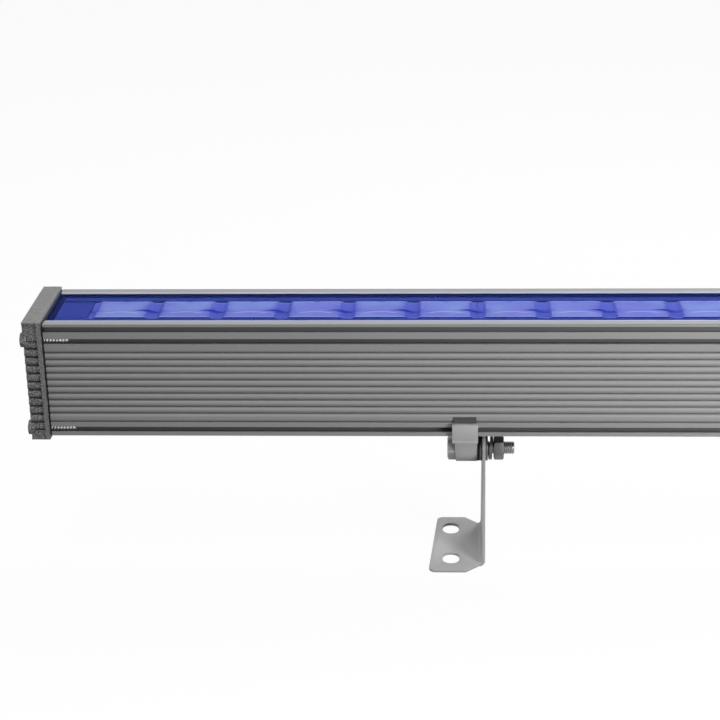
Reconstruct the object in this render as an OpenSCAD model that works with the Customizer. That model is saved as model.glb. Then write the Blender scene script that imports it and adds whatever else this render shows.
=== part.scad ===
// Linear outdoor wall washer: a ribbed aluminium housing with a row of lenses under glass, a cast cap
// on each end, and two feet that tilt on bolts under clamps, which slide along the housing.
// X runs along the light, Y across it, Z up from the surface that the feet stand on.

/* [Light] */
// Length between the outer faces of the end caps
light_l = 1000; // [700:1:1500]
// Width of the housing
body_w = 61; // [58:0.5:72]
// Height of the housing
body_h = 70.7; // [66:0.1:90]
// Height of the tilt axis above the surface the feet stand on
axis_h = 67.6; // [56:0.1:110]
// From the tilt axis up to the underside of the housing
body_drop = 21.5; // [20:0.1:32]

/* [Housing] */
// Thickness of the housing's floor
floor_t = 2.5; // [1.8:0.1:3.5]
// Thickness of the side walls behind the rib crests
wall_t = 3.5; // [3.2:0.1:5]
// Thickness of the shelf that the lamp board is screwed to
shelf_t = 3; // [2.6:0.1:4]
// Depth of the shelf's upper face below the housing's top
shelf_depth = 16.5; // [16:0.1:20]
// Number of even ribs on each side
rib_count = 9; // [5:1:9]
// Spacing of the ribs
rib_pitch = 4.28; // [3.6:0.01:4.28]
// Radius of a rib's round crest
rib_r = 2.2; // [2.15:0.01:2.5]
// Height of the wide rib under the even ones
wide_rib_h = 5.55; // [4.6:0.05:5.6]
// Height of the lip above the long groove
lip_h = 1.5; // [1:0.1:2.5]
// Height of the long groove under the lip
groove_h = 3.4; // [2:0.1:3.6]
// Depth of the long groove
groove_d = 3.4; // [2:0.1:4]
// Thickness of the edges that narrow the long groove's mouth
groove_edge_t = 0.8; // [0.5:0.1:1.2]
// How far the long groove reaches down behind its mouth
groove_drop = 1.1; // [0.5:0.1:1.3]
// Height of the flat band between the long groove and the upper screw channel
band_h = 4.05; // [3.6:0.05:5]
// Height of a screw channel's mouth
channel_mouth = 3.4; // [3:0.05:3.6]
// Radius of a screw channel
channel_r = 2.2; // [2.1:0.01:2.3]
// Depth of a screw channel's centre behind the side face
channel_in = 3.4; // [3.3:0.05:3.6]
// Height of the bottom rail under the lower screw channel
rail_h = 2.3; // [2:0.1:3]

/* [Glass] */
// Width of each top rail beside the glass opening
rail_w = 6.5; // [6:0.1:9]
// Depth of the glass below the top rails
glass_recess = 0.4; // [0.2:0.1:1]
// Thickness of the glass
glass_t = 4; // [3:0.1:4.4]
// Ground bevel on the glass edges
glass_bevel = 0.4; // [0.2:0.1:0.8]
// Thickness of the seal under the glass
seal_t = 0.8; // [0.5:0.1:1]
// Thickness of the seal beside the glass
seal_side = 0.9; // [0.5:0.1:1.5]
// Width of the ledge that carries the seal
ledge_w = 3.5; // [2.5:0.1:4]
// Thickness of the ledge that carries the seal
ledge_t = 1.6; // [1.2:0.1:1.8]

/* [Lenses] */
// Spacing of the lenses
lens_pitch = 38.5; // [34:0.5:60]
// Least distance from a cap's outer face to the first lens centre
row_margin = 55; // [54:1:80]
// How far the row stands from the light's middle towards its left end
row_off = 3; // [0:0.5:3]
// Lenses moulded on one strip
strip_lenses = 6; // [1:1:12]
// Width of a lens strip
strip_w = 29; // [28:0.5:32]
// Length of a lens's flat top along the row
lens_l = 31; // [26:0.5:33]
// Thickness of a lens strip
strip_t = 2.2; // [1.5:0.1:2.4]
// Depth of the hollow between two lens tops
lens_gap_d = 0.9; // [0.4:0.1:1.4]
// Length and width of the deeper pocket in that hollow
eye_pocket_l = 15.5; // [10:0.5:20]
eye_pocket_w = 5.7; // [3:0.1:9]
// Gap between two lens strips
strip_gap = 0.4; // [0.2:0.1:1]
// Air between the glass and the lens strips
lens_air = 0.2; // [0.1:0.05:0.5]
// Radius of a lens at its plate
lens_r = 12.8; // [10:0.1:13]
// Radius of a lens at the lamp board
lens_foot_r = 4.8; // [4.4:0.1:6]
// Radius of the pocket over the lamp
lens_pocket_r = 3.2; // [3:0.1:3.6]
// Depth of the pocket over the lamp
lens_pocket_d = 2.6; // [2.4:0.1:3.5]
// Thickness of the carrier that the lens strips lie on
carrier_t = 1.5; // [1:0.1:2]
// Clearance between the carrier and the lens cones, and beside the strips
carrier_gap = 0.3; // [0.1:0.05:0.35]

/* [Lamp board] */
// Width of the lamp board
board_w = 28; // [22:0.5:30]
// Thickness of the lamp board
board_t = 1.6; // [1:0.1:2]
// Side of a lamp's base
lamp_w = 3.5; // [2:0.1:4]
// Thickness of a lamp's base
lamp_t = 0.7; // [0.4:0.1:1]
// Radius of a lamp's dome
lamp_r = 1.4; // [0.8:0.1:1.5]
// Lens spacings from one board screw to the next
screw_step = 4; // [2:1:6]

/* [Driver] */
// Length of the driver board
driver_l = 190; // [150:1:220]
// From the housing's right end to the driver board
driver_in = 25; // [20:1:60]
// Thickness of the driver board
driver_t = 1.6; // [1:0.1:1.8]
// Height of the corner bosses that the driver board lies on
boss_h = 8; // [7:0.1:12]
// Thickness of the insulating sheet on the floor
sheet_t = 0.5; // [0.3:0.1:1]
// Length, width and height of the transformer's core
core_l = 26; // [20:0.5:30]
core_w = 24; // [20:0.5:28]
core_h = 20; // [16:0.5:28]
// Radius of the transformer's winding
winding_r = 10.5; // [8:0.1:12]
// Radius and height of the large capacitor
big_cap_r = 8; // [5:0.1:9]
big_cap_h = 27; // [15:0.5:34]
// Radius and height of the small capacitors
small_cap_r = 5; // [3:0.1:6]
small_cap_h = 16; // [10:0.5:25]
// Radius of the choke's ring and of its winding
choke_r = 7; // [6:0.1:9]
choke_wire_r = 3.4; // [2:0.1:4]

/* [End caps] */
// Thickness of an end cap
cap_t = 11; // [10.8:0.1:16]
// How far a cap stands proud of the housing's sides
cap_side = 1.2; // [1:0.1:3]
// How far a cap stands proud of the housing's top
cap_top = 1.6; // [1:0.1:4]
// How far a cap stands proud of the housing's underside
cap_under = 2.4; // [1:0.1:4]
// Thickness of the smooth rim on a cap's inner edge
rim_t = 2.5; // [1:0.1:3]
// Radius of a cap's corners
cap_corner_r = 0.6; // [0.4:0.1:3]
// Number of flutes on each side of a cap
flute_count = 11; // [6:1:11]
// Spacing of the flutes
flute_pitch = 5.2; // [4:0.1:5.2]
// Depth of the grooves between the flutes
flute_d = 1; // [0.6:0.1:1]
// Depth of the fluted sides behind a cap's rim
flute_recess = 0.9; // [0.4:0.1:0.9]
// Radius of a screw boss
boss_r = 4.4; // [4.4:0.1:5]
// How far a screw boss stands proud of the cap's outer face
boss_proud = 1.9; // [1:0.1:4]
// Depth of the pocket in a cap's inner face
pocket_d = 6; // [5:0.1:7]
// Thickness of a cap's gasket
gasket_t = 1.1; // [0.8:0.1:2.5]

/* [Cap screws] */
// Radius of a cap screw's thread
cap_screw_r = 2.1; // [1.8:0.05:2.1]
// Length of a cap screw under its head
cap_screw_l = 25.5; // [20:0.5:30]
// Radius of a cap screw's head
cap_head_r = 3.5; // [3:0.1:3.7]
// Height of a cap screw's head
cap_head_h = 2.4; // [1.8:0.1:2.8]
// Depth of the hole that takes the head
cap_sink_d = 3; // [2.9:0.1:4]

/* [Cable gland] */
// Height of the gland's axis above the housing's underside
gland_up = 23; // [20:0.5:30]
// Radius of the gland's thread
gland_r = 7.9; // [6:0.1:8]
// Width across flats of the gland's hexagons
gland_flats = 19; // [18:0.5:24]
// Thickness of the gland's outer hexagon
gland_hex_t = 5; // [3:0.5:7]
// Length of the dome nut
dome_l = 15; // [14:0.5:20]
// Radius of the cable's way through the gland's seal
cable_r = 3.5; // [2.5:0.1:4]

/* [Clamps] */
// From a cap's outer face to the outer side of the nearer clamp
clamp_place = 250.8; // [160:0.1:300]
// Length of a clamp along the light
clamp_l = 15.2; // [12:0.1:25]
// Thickness of the clamp's base under the housing
base_t = 2.9; // [2:0.1:4]
// Thickness of the clamp's jaws
jaw_t = 2.6; // [2:0.1:4]
// Height of the jaws above the housing's underside
jaw_h = 8.6; // [7.5:0.1:12]
// Thickness of the rubber pads in the jaws
pad_t = 0.8; // [0.5:0.1:1.5]
// How far the pads show above the jaws
pad_over = 3.8; // [0.5:0.1:4]
// How far a jaw's hook reaches into the screw channel
hook_in = 2.2; // [1:0.1:2.6]
// Running gap between a clamp and the housing
clamp_gap = 0.2; // [0.1:0.05:0.3]
// Radius of the clamp's eye round the bolt
eye_r = 8.3; // [7:0.1:10]
// How far the eye's outer side leans in
eye_draft = 1.6; // [0:0.1:2]

/* [Fasteners] */
// Radius of the tilt bolt
bolt_r = 4; // [3:0.1:4.5]
// Length of the tilt bolt under its head
bolt_l = 35.5; // [34:0.5:45]
// Width across flats of the bolt's head and nut
bolt_flats = 13; // [12:0.5:16]
// Height of the bolt's head
bolt_head_h = 5.3; // [4:0.1:7]
// Height of the nut
nut_h = 6.1; // [5:0.1:8]
// Radius of the flat washers
washer_r = 8; // [7:0.1:10]
// Thickness of the flat washers
washer_t = 1.6; // [1:0.1:2]
// Thickness of the rubber friction washer
friction_t = 1.5; // [0.5:0.1:2]
// Radius of the spring washer
spring_r = 7.4; // [7:0.1:8.5]
// Thickness of the spring washer's steel
spring_t = 1.8; // [1.2:0.1:2.4]
// Height of the spring washer as it stands
spring_h = 3.6; // [3.6:0.1:5]
// Clearance round the bolt in the clamp, foot and washers
bolt_clear = 0.08; // [0.02:0.01:0.1]

/* [Feet] */
// Thickness of a foot's sheet steel
foot_t = 1.9; // [1.2:0.1:3]
// Reach of a foot from the outer side of its leg to its tip, at its middle
foot_l = 30; // [28:0.1:50]
// Width of a foot
foot_w = 70; // [60:0.5:90]
// Width of a foot at its bend
bend_w = 54.6; // [40:0.1:56]
// Inner radius of the bend
bend_r = 2; // [1:0.1:4]
// Length of a foot's corner cuts beside the bend
corner_cut = 8; // [4:0.1:10]
// How much further one corner of a foot's tip reaches than the other
tip_skew = 4.6; // [0:0.1:5]
// Radius of the corners of a foot's tip
tip_r = 4; // [2:0.1:8]
// Radius of a leg's round end
leg_r = 12.5; // [10:0.1:14]
// Distance between a foot's two slots
slot_gap = 39; // [30:0.5:42]
// Length of a slot
slot_l = 14; // [12:0.1:18]
// Width of a slot
slot_w = 10.2; // [8:0.1:11]
// From the outer side of the leg to the slots
slot_in = 18.95; // [17:0.05:22]

/* [Hidden] */
$fn = 48;

// One overrun serves every cut
cut = 1;

// Where the light stands: the whole reach, gland and bosses included, is centred on X
gland_washer_t = 1.5;
dome_gap = 0.3;
gland_reach = gland_washer_t + gland_hex_t + dome_gap + dome_l;
centre_x = (boss_proud - gland_reach) / 2;
left_x = centre_x - light_l / 2;
body_z = axis_h + body_drop;
body_x = left_x + cap_t + gasket_t;
body_l = light_l - 2 * (cap_t + gasket_t);
half_w = body_w / 2;
opening_w = body_w - 2 * rail_w;

// Heights in the housing's section, from its underside up
top_block_h = lip_h + groove_h + band_h + channel_mouth;
groove_mid_v = body_h - lip_h - (groove_h + groove_drop) / 2;
upper_channel_v = body_h - top_block_h + channel_mouth / 2;
lower_channel_v = rail_h + channel_mouth / 2;
rib_field_h = rib_count * rib_pitch;
upper_shoulder_share = 0.66;
shoulders_h = upper_channel_v - lower_channel_v - channel_mouth - rib_field_h - wide_rib_h;
rib_top_v = body_h - top_block_h - shoulders_h * upper_shoulder_share;
wide_rib_v = rib_top_v - rib_field_h - wide_rib_h;
crest_in = half_w - rib_r;
rib_centres = concat(
    [for (i = [-1 : rib_count - 1]) rib_top_v - (i + 0.5) * rib_pitch],
    [wide_rib_v + wide_rib_h - rib_pitch / 2, wide_rib_v + rib_pitch / 2]
);
glass_v = body_h - glass_recess - glass_t;
ledge_v = glass_v - seal_t;
shelf_v = body_h - shelf_depth;
chamber_half = half_w - wall_t;
channel_back = 1.6;
narrow_half = half_w - channel_in - channel_r - channel_back;
guide_h = 1.3;
guide_gap = 0.3;

// The row of lenses
lens_count = floor((light_l - 2 * row_margin) / lens_pitch) + 1;
row_x = centre_x - row_off - (lens_count - 1) * lens_pitch / 2;
lens_top_v = glass_v - lens_air;
strip_v = lens_top_v - strip_t;
board_v = shelf_v + board_t;
carrier_air = 0.1;
carrier_v = strip_v - carrier_air;

// The clamp, bolt and leg stack along X, from the clamp's outer side towards the light's middle
clamp_x = left_x + clamp_place;
clamp_end = clamp_x + clamp_l;
eye_in = 0.8;
eye_x = clamp_x + eye_in;
head_x = eye_x + eye_draft;
head_gap = 0.3;
inner_washer_x = clamp_end + friction_t;
leg_x = inner_washer_x + washer_t;
leg_end = leg_x + foot_t;
spring_x = leg_end + washer_t;
nut_x = spring_x + spring_h;
jaw_in = half_w + clamp_gap + pad_t;
jaw_out = jaw_in + jaw_t;

// Turns that put the hexagons as they stand in the light
head_turn = 1;
nut_turn = -17;

cap_half = half_w + cap_side;
thread_gap = 0.05;
cap_hole_gap = 0.3;

// A section drawn across Y and Z, run along X
module along_x(l) {
    rotate([90, 0, 90])
        linear_extrude(l)
            children();
}

// A box from one corner, given by its lowest point and its size
module block(at, size) {
    translate(at)
        cube(size);
}

// A round bar along X
module bar_x(r, l) {
    rotate([0, 90, 0])
        cylinder(r = r, h = l);
}

// A hexagonal prism along X with both rims turned down, given its width across flats
module hex_x(flats, l, turn) {
    rim = flats / 2;
    corner = rim / cos(30);
    slope_share = 0.5;
    intersection() {
        rotate([turn, 0, 0])
            rotate([0, 90, 0])
                cylinder(r = corner, h = l, $fn = 6);
        rotate([0, 90, 0])
            cylinder(r1 = rim, r2 = rim + l / slope_share, h = l);
        rotate([0, 90, 0])
            cylinder(r1 = rim + l / slope_share, r2 = rim, h = l);
    }
}

// The left side's pieces again on the right, turned half round as the same parts
module turned_over() {
    translate([2 * centre_x, 0, 0])
        rotate([0, 0, 180])
            children();
}

// The left end's pieces again on the right, as a mirror image
module mirrored_over() {
    translate([2 * centre_x, 0, 0])
        mirror([1, 0, 0])
            children();
}

// The housing's outer section: full width at the top and bottom blocks, round ribs between
module housing_outline() {
    translate([-crest_in, 0])
        square([2 * crest_in, body_h]);
    translate([-half_w, rib_top_v + rib_pitch / 2])
        square([body_w, body_h - rib_top_v - rib_pitch / 2]);
    translate([-half_w, wide_rib_v + rib_pitch / 2])
        square([body_w, wide_rib_h - rib_pitch]);
    translate([-half_w, 0])
        square([body_w, wide_rib_v]);
    for (side = [-1, 1])
        for (v = rib_centres)
            translate([side * crest_in, v])
                circle(r = rib_r);
}

// A screw channel, open to the side face through its mouth
module channel_cut(side, v) {
    translate([side * (half_w - channel_in), v])
        circle(r = channel_r);
    translate([side * (half_w - channel_in / 2 + cut / 2), v])
        square([channel_in + cut, channel_mouth], center = true);
}

// The hollows of the housing's section
module housing_hollows() {
    // driver space, narrower between the corner bosses that back the lower channels
    translate([-narrow_half, floor_t])
        square([2 * narrow_half, shelf_v - shelf_t - floor_t]);
    translate([-chamber_half, boss_h])
        square([2 * chamber_half, driver_t + guide_gap]);
    translate([-chamber_half, boss_h + driver_t + guide_gap + guide_h])
        square([2 * chamber_half, shelf_v - shelf_t - boss_h - driver_t - guide_gap - guide_h]);
    // lens space, the opening inside the ledges, and the glass seat
    translate([-narrow_half, shelf_v])
        square([2 * narrow_half, ledge_v - ledge_t - shelf_v]);
    translate([-opening_w / 2 + ledge_w, shelf_v])
        square([opening_w - 2 * ledge_w, body_h - shelf_v]);
    translate([-opening_w / 2, ledge_v])
        square([opening_w, body_h - ledge_v + cut]);
    for (side = [-1, 1]) {
        translate([side * (half_w - groove_edge_t / 2 + cut / 2), body_h - lip_h - groove_h / 2])
            square([groove_edge_t + cut, groove_h], center = true);
        translate([side * (half_w - (groove_d + groove_edge_t) / 2), groove_mid_v])
            square([groove_d - groove_edge_t, groove_h + groove_drop], center = true);
        channel_cut(side, upper_channel_v);
        channel_cut(side, lower_channel_v);
    }
}

// Board screws stand midway between two lenses
screw_gaps = [for (i = [1 : screw_step : lens_count - 1]) i];
function gap_x(i) = row_x + (i - 0.5) * lens_pitch;
board_screw_r = 1.45;
board_head_r = 2.75;
board_head_h = 2;
board_screw_in = 2.4;
board_hole_r = board_screw_r + thread_gap;

// The leads rise midway between two lenses, one on each side of the lamp board
lead_r = 0.9;
lead_side = board_w / 2 + lead_r + thread_gap;
lead_hole_gap = 0.4;
lead_from_end = 2;
lead_x = gap_x(lens_count - lead_from_end);
lead_end = 0.3;

module housing() {
    color([0.56, 0.56, 0.57])
        difference() {
            translate([body_x, 0, body_z])
                along_x(body_l)
                    difference() {
                        housing_outline();
                        housing_hollows();
                    }
            for (i = screw_gaps)
                translate([gap_x(i), 0, body_z + shelf_v - board_screw_in])
                    cylinder(r = board_hole_r, h = board_screw_in + cut);
            for (side = [-1, 1])
                translate([lead_x, side * lead_side, body_z + shelf_v - shelf_t - cut])
                    cylinder(r = lead_r + lead_hole_gap, h = shelf_t + 2 * cut);
        }
}

// Glass pane with a ground bevel along its edges
module glass() {
    half = opening_w / 2 - seal_side;
    color([0.35, 0.45, 0.85, 0.4])
        translate([body_x + seal_side, 0, body_z + glass_v])
            along_x(body_l - 2 * seal_side)
                polygon([
                    [-half, glass_bevel], [-half + glass_bevel, 0],
                    [half - glass_bevel, 0], [half, glass_bevel],
                    [half, glass_t - glass_bevel], [half - glass_bevel, glass_t],
                    [-half + glass_bevel, glass_t], [-half, glass_t - glass_bevel]
                ]);
}

// Silicone frame: a strip under the glass edge and a thin lip beside it
module glass_seal() {
    color([0.05, 0.05, 0.06])
        translate([body_x, 0, body_z + ledge_v])
            difference() {
                block([0, -opening_w / 2, 0], [body_l, opening_w, seal_t + glass_t]);
                block([seal_side, -opening_w / 2 + seal_side, seal_t],
                    [body_l - 2 * seal_side, opening_w - 2 * seal_side, glass_t + cut]);
                block([ledge_w, -opening_w / 2 + ledge_w, -cut],
                    [body_l - 2 * ledge_w, opening_w - 2 * ledge_w, seal_t + 2 * cut]);
            }
}

// One lens: a cone down to the board with a pocket over its lamp
module lens_cone() {
    difference() {
        translate([0, 0, board_v])
            cylinder(r1 = lens_foot_r, r2 = lens_r, h = strip_v - board_v + strip_t / 2);
        translate([0, 0, board_v - cut])
            cylinder(r = lens_pocket_r, h = lens_pocket_d + cut);
    }
}

// Pointed oval of two equal arcs, along X
module eye_outline(l, w) {
    r = (pow(l / 2, 2) + pow(w / 2, 2)) / w;
    intersection_for (side = [-1, 1])
        translate([0, side * (r - w / 2)])
            circle(r = r);
}

// Clear strips butted end to end along the row: flat lens tops with a hollow and an oval pocket between
module lens_strips() {
    web_t = strip_t - lens_gap_d;
    color([0.45, 0.52, 0.95, 0.8])
        for (first = [0 : strip_lenses : lens_count - 1]) {
            count = min(strip_lenses, lens_count - first);
            start = row_x + (first - 0.5) * lens_pitch + strip_gap / 2;
            translate([0, 0, body_z])
                difference() {
                    union() {
                        block([start, -strip_w / 2, strip_v],
                            [count * lens_pitch - strip_gap, strip_w, web_t]);
                        for (i = [first : first + count - 1])
                            translate([row_x + i * lens_pitch, 0, 0]) {
                                block([-lens_l / 2, -strip_w / 2, strip_v], [lens_l, strip_w, strip_t]);
                                lens_cone();
                            }
                    }
                    for (i = [first : first + count])
                        translate([gap_x(i), 0, strip_v + web_t / 2])
                            linear_extrude(strip_t)
                                eye_outline(eye_pocket_l, eye_pocket_w);
                }
        }
}

// Moulded tray: side rails beside the lens strips, a web under them and two skirts on the shelf
module lens_carrier() {
    rail_low = strip_w / 2 + carrier_gap;
    rail_high = opening_w / 2 - ledge_w - carrier_gap;
    rail_v = lens_top_v - lens_air;
    outer = narrow_half - carrier_gap;
    end_gap = ledge_w + carrier_gap;
    color([0.07, 0.09, 0.25])
        translate([body_x + end_gap, 0, body_z])
            difference() {
                along_x(body_l - 2 * end_gap) {
                    translate([-outer, carrier_v - carrier_t])
                        square([2 * outer, carrier_t]);
                    for (side = [-1, 1]) {
                        translate([side * (rail_low + rail_high) / 2, (carrier_v - carrier_t + rail_v) / 2])
                            square([rail_high - rail_low, rail_v - carrier_v + carrier_t], center = true);
                        translate([side * (outer - carrier_t / 2), (shelf_v + carrier_v) / 2])
                            square([carrier_t, carrier_v - shelf_v], center = true);
                    }
                }
                for (i = [0 : lens_count - 1])
                    translate([row_x + i * lens_pitch - body_x - end_gap, 0, carrier_v - carrier_t - cut])
                        cylinder(r = lens_r + carrier_gap, h = carrier_t + 2 * cut);
            }
}

// Aluminium-backed board on the shelf, with holes for its screws
module lamp_board() {
    color([0.9, 0.9, 0.88])
        difference() {
            block([row_x - lens_pitch / 2, -board_w / 2, body_z + shelf_v],
                [lens_count * lens_pitch, board_w, board_t]);
            for (i = screw_gaps)
                translate([gap_x(i), 0, body_z + shelf_v - cut])
                    cylinder(r = board_hole_r, h = board_t + 2 * cut);
        }
}

// One lamp under each lens: a square base with a clear dome
module lamps() {
    color([0.85, 0.85, 0.6])
        for (i = [0 : lens_count - 1])
            translate([row_x + i * lens_pitch, 0, body_z + board_v]) {
                block([-lamp_w / 2, -lamp_w / 2, 0], [lamp_w, lamp_w, lamp_t]);
                intersection() {
                    translate([0, 0, lamp_t])
                        sphere(r = lamp_r, $fn = 24);
                    cylinder(r = lamp_r + cut, h = lamp_t + lamp_r + cut);
                }
            }
}

module board_screws() {
    color([0.75, 0.75, 0.76])
        for (i = screw_gaps)
            translate([gap_x(i), 0, body_z + board_v]) {
                cylinder(r = board_head_r, h = board_head_h);
                translate([0, 0, -board_t - board_screw_in])
                    cylinder(r = board_screw_r, h = board_t + board_screw_in);
            }
}

// Where the driver's pieces stand on its board, as shares of its length
driver_x = body_x + body_l - driver_in - driver_l;
driver_v = boss_h + driver_t;
driver_side_gap = 0.3;
driver_base = body_z + driver_v;
core_share = 0.16;
big_cap_share = 0.38;
small_cap_shares = [0.5, 0.56];
choke_share = 0.76;
small_cap_y = small_cap_r + driver_side_gap;
function on_driver(share) = driver_x + share * driver_l;

module driver_board() {
    half = chamber_half - driver_side_gap;
    color([0.1, 0.35, 0.16])
        block([driver_x, -half, body_z + boss_h], [driver_l, 2 * half, driver_t]);
}

// Ferrite core: two end limbs, top and bottom yokes, and a round leg through the winding
core_leg_share = 0.42;
core_yoke_share = 0.22;
core_limb_share = 0.13;
winding_gap = 0.2;

module transformer_core() {
    yoke = core_h * core_yoke_share;
    limb = core_l * core_limb_share;
    color([0.16, 0.16, 0.17])
        translate([on_driver(core_share), 0, driver_base]) {
            block([-core_l / 2, -core_w / 2, 0], [core_l, core_w, yoke]);
            block([-core_l / 2, -core_w / 2, core_h - yoke], [core_l, core_w, yoke]);
            for (side = [-1, 1])
                block([side * (core_l - limb) / 2 - limb / 2, -core_w / 2, 0], [limb, core_w, core_h]);
            cylinder(r = winding_r * core_leg_share, h = core_h);
        }
}

module transformer_winding() {
    yoke = core_h * core_yoke_share;
    limb = core_l * core_limb_share;
    outer = min(winding_r, core_l / 2 - limb - winding_gap);
    color([0.72, 0.42, 0.12])
        translate([on_driver(core_share), 0, driver_base + yoke])
            difference() {
                cylinder(r = outer, h = core_h - 2 * yoke);
                translate([0, 0, -cut])
                    cylinder(r = winding_r * core_leg_share + thread_gap, h = core_h + 2 * cut);
            }
}

module driver_capacitors() {
    color([0.12, 0.13, 0.3]) {
        translate([on_driver(big_cap_share), 0, driver_base])
            cylinder(r = big_cap_r, h = big_cap_h);
        for (share = small_cap_shares)
            translate([on_driver(share), small_cap_y, driver_base])
                cylinder(r = small_cap_r, h = small_cap_h);
    }
}

module driver_choke() {
    color([0.68, 0.36, 0.12])
        translate([on_driver(choke_share), 0, driver_base + choke_wire_r])
            rotate_extrude()
                translate([choke_r, 0])
                    circle(r = choke_wire_r);
}

// Terminal block at the gland's end of the driver board, its ways facing the gland
terminal_ways = 3;
terminal_pitch = 5;
terminal_l = 8;
terminal_h = 12;
terminal_up = 7;
terminal_way_r = 1.6;
terminal_in = 3;

module terminal_block() {
    width = terminal_ways * terminal_pitch;
    start = driver_x + driver_l - terminal_in - terminal_l;
    way_x = start + terminal_l / 2;
    color([0.1, 0.45, 0.25])
        difference() {
            block([start, -width / 2, driver_base], [terminal_l, width, terminal_h]);
            for (i = [0 : terminal_ways - 1])
                translate([way_x, (i + 0.5) * terminal_pitch - width / 2, driver_base + terminal_up])
                    bar_x(terminal_way_r, terminal_l);
        }
}

module output_leads() {
    color([0.7, 0.1, 0.1])
        for (side = [-1, 1])
            translate([lead_x, side * lead_side, driver_base])
                cylinder(r = lead_r, h = board_v + lead_end - driver_v);
}

module insulating_sheet() {
    half = narrow_half - driver_side_gap;
    color([0.85, 0.82, 0.7])
        block([driver_x, -half, body_z + floor_t], [driver_l, 2 * half, sheet_t]);
}

// A cap's outline across Y and Z, from the housing's underside up
module cap_outline(half) {
    low = -cap_under;
    high = body_h + cap_top;
    translate([-half, low + cap_corner_r])
        square([2 * half, high - low - 2 * cap_corner_r]);
    translate([-half + cap_corner_r, low])
        square([2 * half - 2 * cap_corner_r, high - low]);
    for (u = [-half + cap_corner_r, half - cap_corner_r])
        for (v = [low + cap_corner_r, high - cap_corner_r])
            translate([u, v])
                circle(r = cap_corner_r);
}

// The fluted part of a cap: plain towards the top and bottom, flutes between, a band along both edges
flute_mid_v = (lower_channel_v + upper_channel_v) / 2;
flute_low_v = flute_mid_v - flute_count * flute_pitch / 2;
flute_high_v = flute_mid_v + flute_count * flute_pitch / 2;
flute_r = (pow(flute_pitch / 2, 2) + pow(flute_d, 2)) / (2 * flute_d);
band_t = 0.9;

module cap_flutes() {
    crest = cap_half - flute_recess;
    high = body_h + cap_top;
    intersection() {
        cap_outline(cap_half);
        union() {
            translate([-crest + flute_d, -cap_under])
                square([2 * (crest - flute_d), high + cap_under]);
            for (v = [-cap_under, high - band_t])
                translate([-cap_half, v])
                    square([2 * cap_half, band_t]);
            translate([-crest, -cap_under])
                square([2 * crest, cap_under + flute_low_v]);
            translate([-crest, flute_high_v])
                square([2 * crest, high - flute_high_v]);
            for (side = [-1, 1])
                for (i = [0 : flute_count - 1])
                    translate([side * (crest - flute_r), flute_low_v + (i + 0.5) * flute_pitch])
                        circle(r = flute_r);
        }
    }
}

// The four places of a cap's screws
module at_screws(x) {
    for (side = [-1, 1])
        for (v = [lower_channel_v, upper_channel_v])
            translate([x, side * (half_w - channel_in), body_z + v])
                children();
}

boss_floor = 1;
pocket_wall = 4;
pocket_half = narrow_half - pocket_wall / 2;

// Cast cap with its outer face towards -X
module cap_casting() {
    difference() {
        union() {
            translate([left_x, 0, body_z])
                along_x(cap_t - rim_t)
                    cap_flutes();
            translate([left_x + cap_t - rim_t, 0, body_z])
                along_x(rim_t)
                    cap_outline(cap_half);
            at_screws(left_x - boss_proud)
                bar_x(boss_r, cap_sink_d + boss_floor);
        }
        at_screws(left_x - boss_proud - cut)
            bar_x(cap_screw_r + cap_hole_gap, boss_proud + cap_t + 2 * cut);
        at_screws(left_x - boss_proud - cut)
            bar_x(cap_head_r + cap_hole_gap, cap_sink_d + cut);
        block([left_x + cap_t - pocket_d, -pocket_half, body_z + floor_t + pocket_wall],
            [pocket_d + cut, 2 * pocket_half, shelf_v - shelf_t - floor_t - 2 * pocket_wall]);
    }
}

module left_cap() {
    color([0.5, 0.5, 0.5])
        cap_casting();
}

// The right cap has the gland's hole through its wall
module right_cap() {
    color([0.5, 0.5, 0.5])
        difference() {
            mirrored_over()
                cap_casting();
            translate([right_x - cap_t - cut, 0, gland_z])
                bar_x(gland_r + cap_hole_gap, cap_t + 2 * cut);
        }
}

// Rubber gasket with the shape of the housing's end
gasket_in = 0.3;

module cap_gasket() {
    difference() {
        translate([body_x - gasket_t, 0, body_z])
            along_x(gasket_t)
                difference() {
                    translate([-half_w + gasket_in, gasket_in])
                        square([body_w - 2 * gasket_in, body_h - 2 * gasket_in]);
                    translate([-narrow_half, floor_t])
                        square([2 * narrow_half, shelf_v - shelf_t - floor_t]);
                    translate([-narrow_half, shelf_v])
                        square([2 * narrow_half, ledge_v - ledge_t - shelf_v]);
                }
        at_screws(body_x - gasket_t - cut)
            bar_x(cap_screw_r + cap_hole_gap, gasket_t + 2 * cut);
    }
}

module left_gasket() {
    color([0.04, 0.04, 0.04])
        cap_gasket();
}

module right_gasket() {
    color([0.04, 0.04, 0.04])
        mirrored_over()
            cap_gasket();
}

// Pan head screws with a hexagon socket, their turned threads held in the housing's channels
socket_share = 0.45;
socket_depth_share = 0.6;
thread_pitch = 1.9;
thread_d = 0.45;
thread_crest_share = 0.25;

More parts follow.
